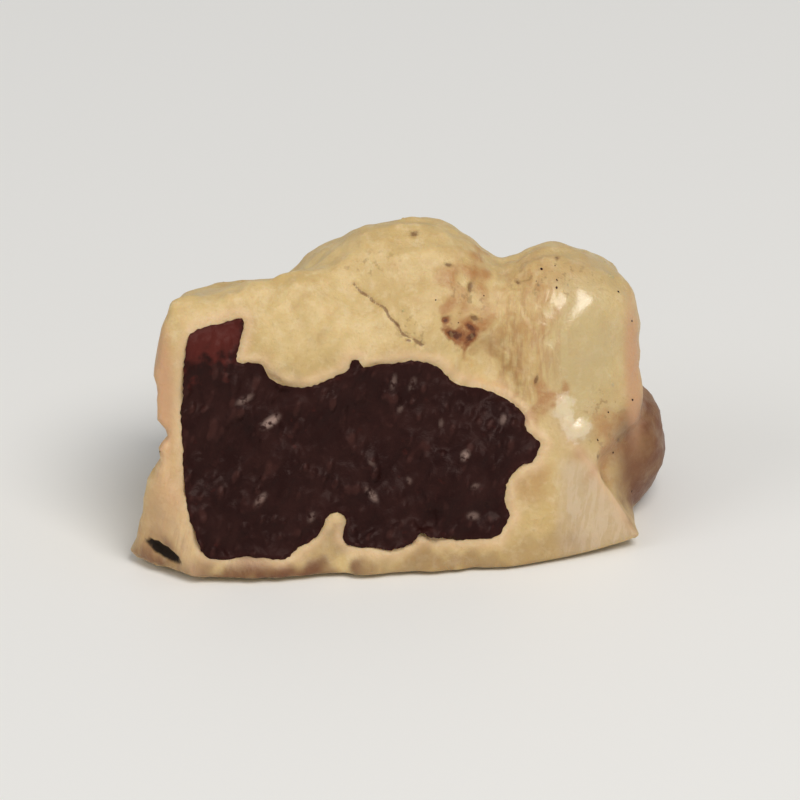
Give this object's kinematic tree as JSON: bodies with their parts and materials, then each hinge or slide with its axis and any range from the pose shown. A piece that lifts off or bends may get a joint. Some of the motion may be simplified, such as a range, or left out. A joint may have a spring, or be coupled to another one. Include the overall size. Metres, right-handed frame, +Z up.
{
  "type": "broken brazil nut",
  "caption": "Piece snapped off a shelled nut kernel: a block of pale flesh with a lobed broken side and patches of dark brown seed coat.",
  "frame": {"origin": "on the surface that the piece rests on, under the middle of its box", "axes": "+Z up, +X along the piece's length towards its lobed broken end, -Y out of the flank with the large patch of seed coat"},
  "size_m": [0.0242, 0.014, 0.0139],
  "materials": {
    "flesh": "smooth waxy cream flesh, slightly glossy on the broken lobes",
    "seed_coat": "thin, wrinkled, dull dark brown with small glints"
  },
  "bodies": {
    "root": {"kernel": "flesh", "seed_coat_front": "seed_coat", "seed_coat_back": "seed_coat"}
  },
  "joints": []
}
